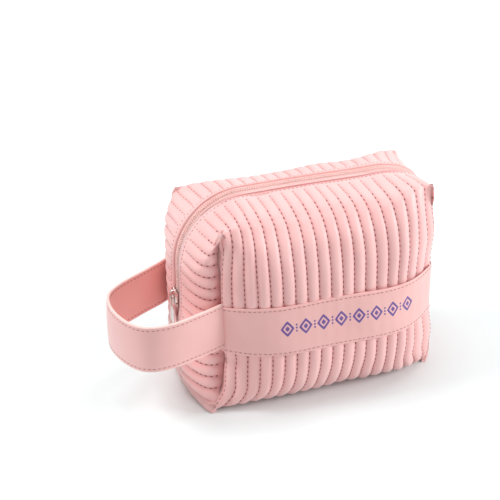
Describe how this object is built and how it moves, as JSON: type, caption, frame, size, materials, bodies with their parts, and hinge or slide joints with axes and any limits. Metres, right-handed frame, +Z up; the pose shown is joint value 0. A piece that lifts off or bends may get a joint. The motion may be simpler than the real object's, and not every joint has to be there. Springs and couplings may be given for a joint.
{
  "type": "makeup bag",
  "caption": "Boxy quilted makeup bag with a zip over the top and down both ends, a smooth band across the front and a wide side hand strap.",
  "frame": {"origin": "middle of the flat base, on the surface the bag stands on", "axes": "+X along the bag away from the strap, the front faces -Y, +Z up"},
  "size_m": [0.2812, 0.1424, 0.1726],
  "materials": {
    "quilted_leathercloth": "soft satin pink leathercloth, channel quilted with dark rose thread",
    "smooth_leathercloth": "smooth satin pink leathercloth",
    "wadding": "white polyester wadding",
    "lining": "plain woven pink lining",
    "binding": "woven pink binding tape",
    "zip_tape": "fine twill pink zip tape",
    "zip_coil": "pink nylon coil",
    "zip_metal": "polished die-cast metal with a faint rose tone"
  },
  "bodies": {
    "bag": {"front_panel": "quilted_leathercloth", "back_panel": "quilted_leathercloth", "front_wadding": "wadding", "back_wadding": "wadding", "front_lining": "lining", "back_lining": "lining", "front_band": "smooth_leathercloth", "back_band": "smooth_leathercloth", "strap_end_front": "smooth_leathercloth", "strap_end_back": "smooth_leathercloth", "zip_tape_front": "zip_tape", "zip_tape_back": "zip_tape", "zip_coil_front": "zip_coil", "zip_coil_back": "zip_coil", "zip_top_stops": "zip_metal", "zip_bottom_stop": "zip_metal", "corner_bindings": "binding", "base_binding": "binding"},
    "strap": {"strap_outer": "smooth_leathercloth", "strap_padding": "wadding", "strap_lining": "smooth_leathercloth"},
    "slider": {"slider_body": "zip_metal", "slider_bridge": "zip_metal"},
    "pull": {"zip_pull": "zip_metal"}
  },
  "joints": [
    {"name": "strap_swing", "type": "hinge", "parent": "bag", "child": "strap", "pos_m": [-0.13, 0, 0.077], "axis": [0, 1, 0], "range_deg": [-45, 50], "stiffness_Nm_per_rad": 0.15, "springref_deg": 1.38},
    {"name": "zip_travel", "type": "slide", "parent": "bag", "child": "slider", "axis": [0, 0, 1], "range_m": [0, 0.026]},
    {"name": "pull_swing", "type": "hinge", "parent": "slider", "child": "pull", "pos_m": [-0.1174, 0, 0.085], "axis": [0, 1, 0], "range_deg": [0, 170]}
  ]
}
